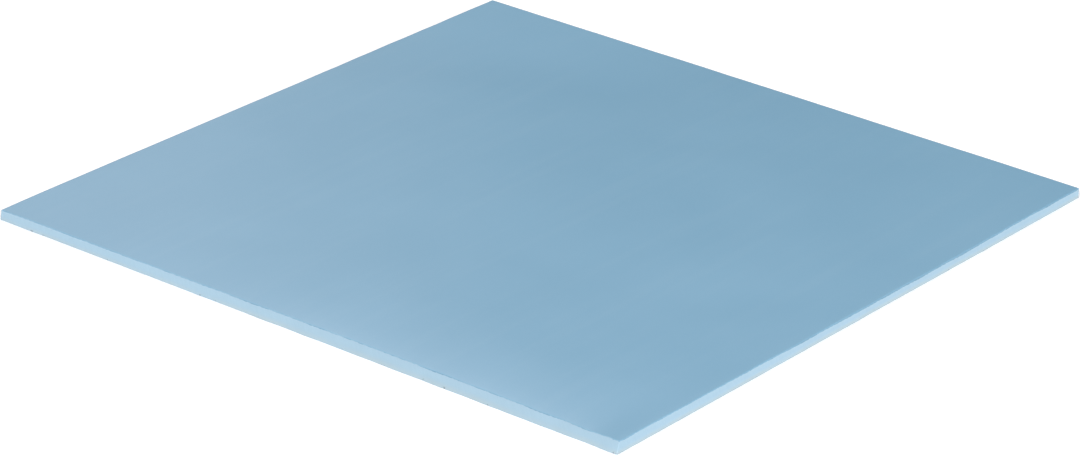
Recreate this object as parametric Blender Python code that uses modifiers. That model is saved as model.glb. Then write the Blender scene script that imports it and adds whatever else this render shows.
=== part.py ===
"""Thermal pad sheet: one square of ceramic-filled silicone, rolled to thickness and knife-cut.

Metres, +Z up. The origin is the middle of the underside, and X and Y run along the cut sides.
"""

import bmesh
import bpy

# Driving sizes
SHEET_LENGTH = 0.100  # along X
SHEET_WIDTH = 0.100  # along Y
SHEET_THICKNESS = 0.0015
EDGE_RADIUS = 0.00012  # every edge and corner: a knife leaves soft silicone a little round

EDGE_FACETS = 3  # in each quarter round

# The pale blue of the filled silicone, as linear colour
SILICONE_BLUE = (0.21, 0.39, 0.53, 1.0)
SILICONE_ROUGHNESS = 0.45


def clear_scene():
    for obj in list(bpy.data.objects):
        bpy.data.objects.remove(obj, do_unlink=True)


def part_collection(name):
    collection = bpy.data.collections.new(name)
    bpy.context.scene.collection.children.link(collection)
    return collection


def silicone_material():
    """Satin silicone, coloured all the way through."""
    material = bpy.data.materials.new("filled_silicone")
    material.use_nodes = True
    shader = material.node_tree.nodes["Principled BSDF"]
    shader.inputs["Base Color"].default_value = SILICONE_BLUE
    shader.inputs["Roughness"].default_value = SILICONE_ROUGHNESS
    shader.inputs["Metallic"].default_value = 0.0
    return material


def sheet_mesh():
    """The square block that the knife leaves, lying on z = 0."""
    block = bmesh.new()
    bmesh.ops.create_cube(block, size=1.0)
    bmesh.ops.scale(block, vec=(SHEET_LENGTH, SHEET_WIDTH, SHEET_THICKNESS), verts=block.verts)
    bmesh.ops.translate(block, vec=(0.0, 0.0, SHEET_THICKNESS / 2), verts=block.verts)
    mesh = bpy.data.meshes.new("pad_sheet")
    block.to_mesh(mesh)
    block.free()
    return mesh


def soften_edges(sheet):
    """Rounds all twelve edges of the block."""
    bevel = sheet.modifiers.new("soft_edges", "BEVEL")
    bevel.width = EDGE_RADIUS
    bevel.segments = EDGE_FACETS


def make_pad_sheet(collection):
    sheet = bpy.data.objects.new("pad_sheet", sheet_mesh())
    sheet.data.materials.append(silicone_material())
    collection.objects.link(sheet)
    soften_edges(sheet)


def main():
    clear_scene()
    make_pad_sheet(part_collection("thermal_pad_sheet"))


main()
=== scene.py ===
"""One square sheet of thermal pad, lying flat on a white table.

Metres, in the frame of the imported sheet: Z up, the underside on z = 0, X and Y along the cut sides.
"""

import math

import bmesh
import bpy
import numpy as np
from mathutils import Matrix, Vector, noise


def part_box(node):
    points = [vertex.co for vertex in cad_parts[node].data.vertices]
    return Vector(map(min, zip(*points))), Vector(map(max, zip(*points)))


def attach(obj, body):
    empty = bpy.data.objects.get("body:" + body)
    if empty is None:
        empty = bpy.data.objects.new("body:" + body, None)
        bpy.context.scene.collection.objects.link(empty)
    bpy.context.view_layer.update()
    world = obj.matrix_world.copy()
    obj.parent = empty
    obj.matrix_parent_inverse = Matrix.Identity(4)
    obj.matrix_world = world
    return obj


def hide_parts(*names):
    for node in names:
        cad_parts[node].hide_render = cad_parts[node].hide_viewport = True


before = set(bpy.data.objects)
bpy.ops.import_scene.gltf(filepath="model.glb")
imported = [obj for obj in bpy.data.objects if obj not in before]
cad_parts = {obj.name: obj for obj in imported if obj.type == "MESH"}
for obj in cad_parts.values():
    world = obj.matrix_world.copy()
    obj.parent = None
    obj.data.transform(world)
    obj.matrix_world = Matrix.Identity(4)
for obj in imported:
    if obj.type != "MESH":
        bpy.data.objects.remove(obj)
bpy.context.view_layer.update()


# The pad sheet. Silicone gum loaded with ceramic powder is rolled out between two liners, cured,
# peeled and cut square with a blade. The rolled faces come out satin, with the fine grain of the
# liner; the cut sides come out duller, because the blade tears through the powder, and they are paler
# partly for the same reason and partly as painted light, standing in for the light that falls on them.

low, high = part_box("pad_sheet")
thickness = high.z - low.z

# How finely the block is ruled: squares on the broad faces, smaller beside the cut, bands down it
FACE_STEP = 0.0006
RIM_STEP = 0.0002
STEP_GROWTH = 1.3
CUT_BANDS = 6
ARRIS_RADIUS = 0.00010
ARRIS_FACETS = 4
ARRIS_TURN = math.radians(60)  # edges of the block that turn more than this are rounded


def ruled_lines(start, end):
    """Lines across the sheet, closest together by the cut sides, where the surface bends most."""
    steps = [RIM_STEP]
    while steps[-1] * STEP_GROWTH < FACE_STEP:
        steps.append(steps[-1] * STEP_GROWTH)
    margin = np.cumsum([0.0] + steps)
    middle = end - start - 2 * margin[-1]
    inner = np.linspace(start + margin[-1], end - margin[-1], round(middle / FACE_STEP) + 1)
    return np.concatenate([start + margin[:-1], inner, end - margin[-2::-1]])


def plain_block():
    """The block as if it were perfect, ruled for shaping, with every edge and corner rounded."""
    x_lines = ruled_lines(low.x, high.x)
    y_lines = ruled_lines(low.y, high.y)
    columns = len(x_lines) - 1
    rows = len(y_lines) - 1
    block = bmesh.new()
    bmesh.ops.create_grid(block, x_segments=columns, y_segments=rows, size=1.0)
    for point in block.verts:
        column = round((point.co.x + 1) / 2 * columns)
        row = round((point.co.y + 1) / 2 * rows)
        point.co = (x_lines[column], y_lines[row], low.z)
    raised = bmesh.ops.extrude_face_region(block, geom=block.faces[:])
    for point in raised["geom"]:
        if isinstance(point, bmesh.types.BMVert):
            point.co.z = high.z
    upright = [edge for edge in block.edges if edge.verts[0].co.z != edge.verts[1].co.z]
    bmesh.ops.subdivide_edges(block, edges=upright, cuts=CUT_BANDS - 1, use_grid_fill=True)
    bmesh.ops.recalc_face_normals(block, faces=block.faces)
    bmesh.ops.bevel(
        block,
        geom=[edge for edge in block.edges if edge.calc_face_angle() > ARRIS_TURN],
        offset=ARRIS_RADIUS,
        offset_type="OFFSET",
        segments=ARRIS_FACETS,
        profile=0.5,
        affect="EDGES",
    )
    return block


def eased(value, start, end):
    """0 up to start, 1 from end on, and a smooth rise between."""
    share = min(max((value - start) / (end - start), 0.0), 1.0)
    return share * share * (3 - 2 * share)


def wave(size, seed, *place):
    """A smooth random wave between about -1 and 1, with humps of the given size."""
    return noise.noise(Vector(place).to_3d() / size + Vector((0.0, 0.0, seed)))


# Where the blade bore on the sheet. Along the left-hand near side it was tilted, from a little way
# past the left corner and fully past the middle, and less again by the near corner. Along the
# right-hand near side it bore down likewise, from the near corner on, and eased before the right one.
TILT_START = 0.006
TILT_FULL = 0.066
TILT_EASED = 0.3
TILT_EASED_LENGTH = 0.010
ROLLED_END_LENGTH = 0.005
PRESS_START = 0.014
PRESS_FULL = 0.062
PRESS_EASED = 0.35
PRESS_EASED_START = 0.072
PRESS_EASED_END = 0.084


def tilt_share(x):
    """How far the blade was tilted along the left-hand near side."""
    risen = eased(x, low.x + TILT_START, low.x + TILT_FULL)
    return risen - TILT_EASED * eased(x, high.x - TILT_EASED_LENGTH, high.x)


def rolled_share(x):
    """How far the face is rolled over along the left-hand near side: not at all at its two ends."""
    return tilt_share(x) * (1 - eased(x, high.x - ROLLED_END_LENGTH, high.x))


def press_share(y):
    """How hard the blade bore down along the right-hand near side."""
    risen = eased(y, low.y + PRESS_START, low.y + PRESS_FULL)
    return risen - PRESS_EASED * eased(y, low.y + PRESS_EASED_START, low.y + PRESS_EASED_END)


# The upper face: slow waves from the rollers. It is rolled over along the left-hand near side, with
# a low swell and then a hollow behind, it dips towards the right-hand one, and it is pressed down a
# little at the left corner. It lies a hair lower than the block's, so that little rises above that.
FACE_DROP = 0.000015
ROLL_WAVE = 0.00004
ROLL_WAVE_SIZE = 0.030
ROLL_WAVE_SEED = 3.0
SMALL_WAVE = 0.00002
SMALL_WAVE_SIZE = 0.010
SMALL_WAVE_SEED = 7.0
ROLLED_OVER = 0.00026
ROLLED_WIDTH = 0.0065
SWELL = 0.00005
SWELL_INWARD = 0.014
SWELL_WIDTH = 0.012
HOLLOW = 0.00007
HOLLOW_INWARD = 0.034
HOLLOW_WIDTH = 0.013
DIP_DEPTH = 0.00012
DIP_WIDTH = 0.012
CORNER_PRESS = 0.00009
CORNER_PRESS_WIDTH = 0.006


def upper_face(x, y):
    """The height of the upper face over a place on the sheet."""
    inward = y - low.y
    height = high.z - FACE_DROP
    height += ROLL_WAVE * wave(ROLL_WAVE_SIZE, ROLL_WAVE_SEED, x, y)
    height += SMALL_WAVE * wave(SMALL_WAVE_SIZE, SMALL_WAVE_SEED, x, y)
    height -= ROLLED_OVER * rolled_share(x) * math.exp(-inward / ROLLED_WIDTH)
    height += SWELL * tilt_share(x) * math.exp(-(((inward - SWELL_INWARD) / SWELL_WIDTH) ** 2))
    height -= HOLLOW * tilt_share(x) * math.exp(-(((inward - HOLLOW_INWARD) / HOLLOW_WIDTH) ** 2))
    height -= DIP_DEPTH * press_share(y) * math.exp(-(high.x - x) / DIP_WIDTH)
    height -= CORNER_PRESS * math.exp(-math.hypot(x - low.x, inward) / CORNER_PRESS_WIDTH)
    return height


# The cut sides: they wander a little and stand out at the foot. The two near ones and the back
# left-hand one lean in towards the top, the left-hand near one much more where the blade was tilted
# and tore its way, and the right-hand near one more by the near corner. The back left-hand one is a
# little out of square, and the back right-hand one bows outwards.
SIDE_WANDER = 0.00005
SIDE_WANDER_SIZE = 0.011
WANDER_DOWN = 4  # how much faster it changes down the cut than along it
SIDE_RIPPLE = 0.00004
SIDE_RIPPLE_SIZE = 0.0036
RIPPLE_DOWN = 2
RIPPLE_SEED_STEP = 5.0
SIDE_FOOT = 0.00006
SIDE_LEAN = 0.00010
NEAR_LEAN = 0.00012
NEAR_LEAN_LENGTH = 0.016
OUT_OF_SQUARE = 0.00012
BOW = 0.00020
BOW_PLACE = -0.020
BOW_LENGTH = 0.035
BLADE_TILT = 0.00094
TORN_RIPPLE = 0.00007
SIDE_REACH = 0.003  # how far into the sheet a side's shape is felt
NEAR_RIGHT_SEED = 11.0
BACK_LEFT_SEED = 23.0
BACK_RIGHT_SEED = 37.0
NEAR_LEFT_SEED = 41.0


def side_shift(along, up, inward, seed, lean=0.0, torn=0.0):
    """How far a cut side stands out from true, fading out towards the middle of the sheet."""
    shift = SIDE_WANDER * wave(SIDE_WANDER_SIZE, seed, along, WANDER_DOWN * up)
    ripple = wave(SIDE_RIPPLE_SIZE, seed + RIPPLE_SEED_STEP, along, RIPPLE_DOWN * up)
    shift += (SIDE_RIPPLE + torn) * ripple
    shift += SIDE_FOOT - lean * up / thickness
    return shift * math.exp(-inward / SIDE_REACH)


def shaped(spot):
    """Where a point of the plain block lies in the real sheet."""
    up = spot.z - low.z
    tilt = tilt_share(spot.x)
    near_end = 1 - eased(spot.y, low.y, low.y + NEAR_LEAN_LENGTH)
    right_lean = SIDE_LEAN + NEAR_LEAN * near_end
    left_lean = SIDE_LEAN + BLADE_TILT * tilt
    bow = BOW * math.exp(-(((spot.x - BOW_PLACE) / BOW_LENGTH) ** 2))
    skew = OUT_OF_SQUARE * spot.y / high.y
    torn = TORN_RIPPLE * tilt
    x = spot.x + side_shift(spot.y, up, high.x - spot.x, NEAR_RIGHT_SEED, lean=right_lean)
    x -= side_shift(spot.y, up, spot.x - low.x, BACK_LEFT_SEED, lean=SIDE_LEAN)
    x += skew * math.exp(-(spot.x - low.x) / SIDE_REACH)
    y = spot.y + side_shift(spot.x, up, high.y - spot.y, BACK_RIGHT_SEED)
    y += bow * math.exp(-(high.y - spot.y) / SIDE_REACH)
    y -= side_shift(spot.x, up, spot.y - low.y, NEAR_LEFT_SEED, lean=left_lean, torn=torn)
    return Vector((x, y, low.z + up / thickness * (upper_face(spot.x, spot.y) - low.z)))


# Where the rolled skin ends, in millimetres past the arris. Down the right-hand near cut its colour
# reaches further, as painted shade on the rounded arris there.
SKIN_END = 0.05
SKIN_END_WAVE = 0.10
SKIN_END_SIZE = 0.005
SKIN_END_SEED = 51.0
SKIN_SHADE_REACH = 0.17
MILLIMETRES = 1000  # in a metre


def past_skin(spot):
    """How far past the end of the skin a point lies, in millimetres over the face and down the cut."""
    inward = min(spot.x - low.x, high.x - spot.x, spot.y - low.y, high.y - spot.y)
    skin_end = SKIN_END + SKIN_END_WAVE * wave(SKIN_END_SIZE, SKIN_END_SEED, spot.x, spot.y)
    # The skin's colour reaches further down the right-hand near cut: painted shade on the arris.
    skin_end += SKIN_SHADE_REACH * press_share(spot.y) * math.exp(-(high.x - spot.x) / SIDE_REACH)
    return MILLIMETRES * (high.z - spot.z - inward) - skin_end


def sheet_mesh():
    """The whole sheet, with two measures in millimetres at each point for the finish to read."""
    block = plain_block()
    plain = [point.co.copy() for point in block.verts]
    for point, spot in zip(block.verts, plain):
        point.co = shaped(spot)
    mesh = bpy.data.meshes.new("thermal_pad_sheet")
    block.to_mesh(mesh)
    block.free()
    mesh.shade_smooth()
    below_face = mesh.attributes.new("below_face", "FLOAT", "POINT")
    below_face.data.foreach_set("value", [MILLIMETRES * (high.z - spot.z) for spot in plain])
    skin_measure = mesh.attributes.new("past_skin", "FLOAT", "POINT")
    skin_measure.data.foreach_set("value", [past_skin(spot) for spot in plain])
    return mesh


def add(tree, kind, inputs=(), **settings):
    """A node of one kind, with its settings made and its inputs filled in or wired up."""
    made = tree.nodes.new(kind)
    for name, value in settings.items():
        setattr(made, name, value)
    for name, value in dict(inputs).items():
        if isinstance(value, bpy.types.NodeSocket):
            tree.links.new(value, made.inputs[name])
        else:
            made.inputs[name].default_value = value
    return made


def grain(tree, place, size, detail=2.0, roughness=0.5):
    """Random tone from 0 to 1, with lumps of the given size in metres."""
    made = add(
        tree,
        "ShaderNodeTexNoise",
        {"Vector": place, "Scale": 1 / size, "Detail": detail, "Roughness": roughness},
    )
    return made.outputs["Fac"]


def spread(tree, value, start, end, low_end=0.0, high_end=1.0):
    """The value from start to end, spread over another range and held at its ends."""
    made = add(
        tree,
        "ShaderNodeMapRange",
        {"Value": value, "From Min": start, "From Max": end, "To Min": low_end, "To Max": high_end},
        interpolation_type="SMOOTHSTEP",
    )
    return made.outputs["Result"]


def reckoned(tree, operation, first, second):
    """The result of one step of arithmetic."""
    made = add(tree, "ShaderNodeMath", {0: first, 1: second}, operation=operation)
    return made.outputs["Value"]


def blended(tree, amount, first, second):
    """One colour turning into another. A mix node has its colours at 6 and 7 and the result at 2."""
    made = tree.nodes.new("ShaderNodeMix")
    made.data_type = "RGBA"
    for number, value in ((0, amount), (6, first), (7, second)):
        socket = made.inputs[number]
        if isinstance(value, bpy.types.NodeSocket):
            tree.links.new(value, socket)
        else:
            socket.default_value = (*value, 1.0)
    return made.outputs[2]


def blended_value(tree, amount, first, second):
    """One number turning into another."""
    made = add(tree, "ShaderNodeMix", {"Factor": amount, "A": first, "B": second})
    return made.outputs["Result"]


# Nearly all the tones of a grain lie between these two
GRAIN_LOW = 0.3
GRAIN_HIGH = 0.7

# Where skin turns into cut. The end of the skin is ragged, and there is skin again on the underside.
RAGGED_SIZE = 0.0005
RAGGED_REACH = 0.04  # millimetres, as past_skin is
SKIN_TO_CUT = 0.03  # millimetres
UNDERSIDE_SKIN = 0.00006  # how far up the cut that reaches


def cut_share(tree, place, underside_off):
    """How much of a spot is cut: none on the skin, and all of it well past the skin's end."""
    measure = add(tree, "ShaderNodeAttribute", attribute_name="past_skin").outputs["Fac"]
    tone = grain(tree, place, RAGGED_SIZE)
    ragged = spread(tree, tone, GRAIN_LOW, GRAIN_HIGH, -RAGGED_REACH, RAGGED_REACH)
    cut_above = spread(tree, reckoned(tree, "SUBTRACT", measure, ragged), -SKIN_TO_CUT, SKIN_TO_CUT)
    return reckoned(tree, "MULTIPLY", cut_above, underside_off)


# The colours of the skin, all of them linear, and how they lie: slow clouds of tone, a lighter patch
# by the back corner that is painted sheen, grains of pale powder, and faint streaks along the rolling.
# The skin is darker where it runs down over the arris: painted shade.
SKIN_DEEP = (0.190, 0.385, 0.545)
SKIN_PALE = (0.199, 0.397, 0.559)
CLOUD_SIZE = 0.022
CLOUD_DETAIL = 3.0
# the skin lighter by the back corner: painted sheen
SKIN_PAINTED_SHEEN = (0.215, 0.422, 0.591)
SHEEN_ALONG_X = 0.048
SHEEN_ALONG_Y = 0.030
SHEEN_FULL = 0.3  # out to this share of its reach
POWDER_PALE = (0.32, 0.48, 0.60)
POWDER_FROM = 0.55
POWDER_FULL = 0.80
POWDER_AMOUNT = 0.12
STREAK_SIZE = 0.0022
STREAK_SQUEEZE = (1.0, 0.06, 1.0)
STREAK_FROM = 0.45
STREAK_FULL = 0.75
STREAK_AMOUNT = 0.05
# the skin's colour where it runs down over the arris, darkened as painted shade
SKIN_ARRIS_SHADE = (0.155, 0.295, 0.410)
ARRIS_SHADE_DEPTH = 0.09  # millimetres below the face


def skin_tone(tree, place, powder, underside_off):
    """The colour of the rolled skin."""
    clouds = spread(tree, grain(tree, place, CLOUD_SIZE, CLOUD_DETAIL), GRAIN_LOW, GRAIN_HIGH)
    skin = blended(tree, clouds, SKIN_DEEP, SKIN_PALE)

    # Lighter towards the back corner: painted sheen.
    reach = {"Vector": place, "Scale": (1 / SHEEN_ALONG_X, 1 / SHEEN_ALONG_Y, 0.0)}
    reached = add(tree, "ShaderNodeMapping", reach).outputs["Vector"]
    back_corner = (low.x / SHEEN_ALONG_X, high.y / SHEEN_ALONG_Y, 0.0)
    away = add(tree, "ShaderNodeVectorMath", {0: reached, 1: back_corner}, operation="DISTANCE")
    painted_sheen = spread(tree, away.outputs["Value"], SHEEN_FULL, 1.0, 1.0, 0.0)
    skin = blended(tree, painted_sheen, skin, SKIN_PAINTED_SHEEN)

    powdered = spread(tree, powder, POWDER_FROM, POWDER_FULL, 0.0, POWDER_AMOUNT)
    skin = blended(tree, powdered, skin, POWDER_PALE)

    squeezed = {"Vector": place, "Scale": STREAK_SQUEEZE}
    rolling = add(tree, "ShaderNodeMapping", squeezed).outputs["Vector"]
    streaks = grain(tree, rolling, STREAK_SIZE)
    streaked = spread(tree, streaks, STREAK_FROM, STREAK_FULL, 0.0, STREAK_AMOUNT)
    skin = blended(tree, streaked, skin, POWDER_PALE)

    # Darker where the skin runs down over the arris: painted shade.
    below_face = add(tree, "ShaderNodeAttribute", attribute_name="below_face").outputs["Fac"]
    arris_shade = spread(tree, below_face, 0.0, ARRIS_SHADE_DEPTH)
    arris_shade = reckoned(tree, "MULTIPLY", arris_shade, underside_off)
    return blended(tree, arris_shade, skin, SKIN_ARRIS_SHADE)


# The cut, as linear colours: drag lines of the blade, close together and a little aslant. Along its
# foot it turns greyer and warmer, painted light bounced up from the table, more in some places than in
# others and most on the right-hand near side, with a dark speck here and there.
# Paler than the skin: partly the torn powder, partly painted light on the cut sides.
CUT_DEEP = (0.309, 0.453, 0.560)
CUT_PALE = (0.321, 0.465, 0.574)
DRAG_SIZE = 0.00035
DRAG_DETAIL = 3.0
DRAG_ROUGHNESS = 0.6
DRAG_SLANT = 0.35
DRAG_LENGTHWISE = 0.08
# greyer and warmer along the foot of the cut: painted light bounced from the table
CUT_FOOT_BOUNCE = (0.365, 0.462, 0.515)
BOUNCE_HEIGHT = 0.0007
BOUNCE_PATCH = 0.006
BOUNCE_THINNEST = 0.4
BOUNCE_RIGHT = 1.8
BOUNCE_RIGHT_START = 0.0012  # inwards from the right-hand near side
BOUNCE_RIGHT_FULL = 0.0004
# the colour of the dark specks near the foot of the cut
SPECK_DARK = (0.10, 0.12, 0.14)
SPECK_SIZE = 0.0007
SPECK_FROM = 0.66
SPECK_FULL = 0.72
SPECK_AMOUNT = 0.7
SPECK_HEIGHT_FULL = 0.0001
SPECK_HEIGHT = 0.0003


def drag_lines(tree, axes):
    """The random tone of the blade's drag lines."""
    along = reckoned(tree, "ADD", axes["X"], axes["Y"])
    slant = reckoned(tree, "MULTIPLY", axes["Z"], DRAG_SLANT)
    aslant = reckoned(tree, "ADD", along, slant)
    down = reckoned(tree, "MULTIPLY", axes["Z"], DRAG_LENGTHWISE)
    blade = add(tree, "ShaderNodeCombineXYZ", {"X": aslant, "Y": down}).outputs["Vector"]
    return grain(tree, blade, DRAG_SIZE, DRAG_DETAIL, DRAG_ROUGHNESS)


def cut_tone(tree, place, axes, drag):
    """The colour of the cut sides."""
    sides = blended(tree, spread(tree, drag, GRAIN_LOW, GRAIN_HIGH), CUT_DEEP, CUT_PALE)

    # Greyer and warmer along the foot: painted light bounced from the table.
    foot = spread(tree, axes["Z"], 0.0, BOUNCE_HEIGHT, 1.0, 0.0)
    patches = spread(tree, grain(tree, place, BOUNCE_PATCH), GRAIN_LOW, GRAIN_HIGH, BOUNCE_THINNEST, 1.0)
    bounce = reckoned(tree, "MULTIPLY", foot, patches)
    right_start = high.x - BOUNCE_RIGHT_START
    right_full = high.x - BOUNCE_RIGHT_FULL
    right = spread(tree, axes["X"], right_start, right_full, 1.0, BOUNCE_RIGHT)
    sides = blended(tree, reckoned(tree, "MULTIPLY", bounce, right), sides, CUT_FOOT_BOUNCE)

    specks = spread(tree, grain(tree, place, SPECK_SIZE), SPECK_FROM, SPECK_FULL, 0.0, SPECK_AMOUNT)
    speck_foot = spread(tree, axes["Z"], SPECK_HEIGHT_FULL, SPECK_HEIGHT, 1.0, 0.0)
    return blended(tree, reckoned(tree, "MULTIPLY", specks, speck_foot), sides, SPECK_DARK)


# How it shines: satin where it was rolled, a little glossier where oil has bled out, and dull where
# it was cut. Its fine relief is the liner's grain on the skin and the drag lines on the cut.
SILICONE_IOR = 1.41
ROLLED_ROUGHNESS = 0.268
OILED_ROUGHNESS = 0.245
CUT_ROUGHNESS = 0.65
OIL_SIZE = 0.014
OIL_FROM = 0.35
OIL_FULL = 0.7
POWDER_SIZE = 0.00016
POWDER_DETAIL = 1.0
POWDER_RELIEF = 0.4
LINER_SIZE = 0.0005
DRAG_RELIEF = 3.0
RELIEF_HEIGHT = 0.000004


def silicone_finish():
    """Filled silicone, with a rolled skin on the broad faces and cut sides between them."""
    material = bpy.data.materials.new("filled_silicone")
    material.use_nodes = True
    tree = material.node_tree
    shader = tree.nodes["Principled BSDF"]
    place = add(tree, "ShaderNodeTexCoord").outputs["Object"]
    axes = add(tree, "ShaderNodeSeparateXYZ", {"Vector": place}).outputs
    underside_off = spread(tree, axes["Z"], 0.0, UNDERSIDE_SKIN)
    powder = grain(tree, place, POWDER_SIZE, POWDER_DETAIL)
    drag = drag_lines(tree, axes)

    cut = cut_share(tree, place, underside_off)
    skin = skin_tone(tree, place, powder, underside_off)
    sides = cut_tone(tree, place, axes, drag)
    tree.links.new(blended(tree, cut, skin, sides), shader.inputs["Base Color"])

    oil_tone = grain(tree, place, OIL_SIZE)
    oil = spread(tree, oil_tone, OIL_FROM, OIL_FULL, ROLLED_ROUGHNESS, OILED_ROUGHNESS)
    tree.links.new(blended_value(tree, cut, oil, CUT_ROUGHNESS), shader.inputs["Roughness"])

    grains = reckoned(tree, "MULTIPLY", powder, POWDER_RELIEF)
    liner = reckoned(tree, "ADD", grain(tree, place, LINER_SIZE), grains)
    relief = blended_value(tree, cut, liner, reckoned(tree, "MULTIPLY", drag, DRAG_RELIEF))
    bump = add(tree, "ShaderNodeBump", {"Height": relief, "Strength": 1.0, "Distance": RELIEF_HEIGHT})
    tree.links.new(bump.outputs["Normal"], shader.inputs["Normal"])

    shader.inputs["IOR"].default_value = SILICONE_IOR
    return material


sheet = bpy.data.objects.new("thermal_pad_sheet", sheet_mesh())
bpy.context.scene.collection.objects.link(sheet)
sheet.data.materials.append(silicone_finish())
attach(sheet, "root")
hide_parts("pad_sheet")


# The table. A smooth white top, wide enough to fill the view on every side, and lit so evenly
# that it comes out almost pure white.

TABLE_HALF = 1.5
TABLE_WHITE = (0.80, 0.80, 0.80, 1.0)
TABLE_ROUGHNESS = 0.9
TABLE_GLOW = 0.32
TABLE_GAP = 0.00002  # the sheet lies on the table without sharing its surface
PURE_WHITE = (1.0, 1.0, 1.0, 1.0)


def white_table():
    """The table top, one flat square just under the sheet."""
    top = bmesh.new()
    bmesh.ops.create_grid(top, x_segments=1, y_segments=1, size=TABLE_HALF)
    bmesh.ops.translate(top, vec=(0.0, 0.0, low.z - TABLE_GAP), verts=top.verts)
    mesh = bpy.data.meshes.new("white_table")
    top.to_mesh(mesh)
    top.free()
    material = bpy.data.materials.new("white_table")
    material.use_nodes = True
    shader = material.node_tree.nodes["Principled BSDF"]
    shader.inputs["Base Color"].default_value = TABLE_WHITE
    shader.inputs["Roughness"].default_value = TABLE_ROUGHNESS
    shader.inputs["Emission Color"].default_value = PURE_WHITE
    shader.inputs["Emission Strength"].default_value = TABLE_GLOW
    mesh.materials.append(material)
    return bpy.data.objects.new("white_table", mesh)


table = white_table()
bpy.context.scene.collection.objects.link(table)


# The light. A white room all round, three soft boxes behind the sheet and to its left, a little
# warm, whose sheen lies on the upper face, and one in front of each near side. The view transform
# is the plain one, so that white stays white.

ROOM_STRENGTH = 0.19
FAINT_WARM_TINT = (1.0, 0.905, 0.870)
WARM_TINT = (1.0, 0.826, 0.783)
NO_TINT = (1.0, 1.0, 1.0)


def bearing(azimuth, elevation):
    """The direction from the sheet to something round it, in degrees; azimuth 0 is the -Y side."""
    turn = math.radians(azimuth)
    rise = math.radians(elevation)
    return Vector((math.sin(turn) * math.cos(rise), -math.cos(turn) * math.cos(rise), math.sin(rise)))


def soft_box(name, azimuth, elevation, distance, size, watts, tint=NO_TINT):
    """A soft box of a given width and height that looks at the sheet."""
    light = bpy.data.lights.new(name, "AREA")
    light.shape = "RECTANGLE"
    light.size = size[0]
    light.size_y = size[1]
    light.energy = watts
    light.color = tint
    away = bearing(azimuth, elevation)
    facing = away.to_track_quat("Z", "Y").to_matrix().to_4x4()
    box = bpy.data.objects.new(name, light)
    box.matrix_world = Matrix.Translation(away * distance) @ facing
    bpy.context.scene.collection.objects.link(box)


room = bpy.data.worlds.new("white_room")
room.use_nodes = True
room_light = room.node_tree.nodes["Background"].inputs
room_light["Color"].default_value = PURE_WHITE
room_light["Strength"].default_value = ROOM_STRENGTH
bpy.context.scene.world = room

soft_box(
    "box_behind",
    azimuth=-140,
    elevation=42,
    distance=0.8,
    size=(0.8, 0.26),
    watts=1.43,
    tint=FAINT_WARM_TINT,
)
soft_box(
    "box_left",
    azimuth=-120,
    elevation=35,
    distance=0.6,
    size=(0.4, 0.4),
    watts=0.27,
    tint=WARM_TINT,
)
soft_box(
    "box_left_near",
    azimuth=-110,
    elevation=25,
    distance=0.35,
    size=(0.25, 0.25),
    watts=0.061,
    tint=WARM_TINT,
)
soft_box("box_front_left", azimuth=0, elevation=34, distance=0.8, size=(0.5, 0.5), watts=5.3)
soft_box("box_front_right", azimuth=90, elevation=23, distance=0.8, size=(0.5, 0.5), watts=5.15)

bpy.context.scene.view_settings.view_transform = "Standard"
bpy.context.scene.view_settings.look = "None"


# The camera. A long lens on the side of the near corner, raised over it, looking at the middle of
# the sheet and turned a little about its own axis.

CAMERA_AZIMUTH = 37.73
CAMERA_ELEVATION = 24.16
CAMERA_ROLL = 1.79
CAMERA_DISTANCE = 0.6069
CAMERA_LENS = 155.16
SENSOR_WIDTH = 36.0
AIM_RIGHT = -0.00094  # how far it looks to the right of the middle of the underside
AIM_DOWN = 0.00244  # and how far below it, both in its own axes
NEAREST_SEEN = 0.01
FARTHEST_SEEN = 20.0


def photo_camera():
    """The camera that took the photograph, as solved from the corners of the sheet."""
    back = bearing(CAMERA_AZIMUTH, CAMERA_ELEVATION)
    level_right = Vector((0.0, 0.0, 1.0)).cross(back).normalized()
    level_up = back.cross(level_right)
    roll = math.radians(CAMERA_ROLL)
    right = level_right * math.cos(roll) + level_up * math.sin(roll)
    up = level_up * math.cos(roll) - level_right * math.sin(roll)
    data = bpy.data.cameras.new("photo_camera")
    data.sensor_fit = "HORIZONTAL"
    data.sensor_width = SENSOR_WIDTH
    data.lens = CAMERA_LENS
    data.clip_start = NEAREST_SEEN
    data.clip_end = FARTHEST_SEEN
    camera = bpy.data.objects.new("photo_camera", data)
    stand = back * CAMERA_DISTANCE + right * AIM_RIGHT - up * AIM_DOWN
    facing = Matrix((right, up, back)).transposed().to_4x4()
    camera.matrix_world = Matrix.Translation(stand) @ facing
    return camera


camera = photo_camera()
bpy.context.scene.collection.objects.link(camera)
bpy.context.scene.camera = camera
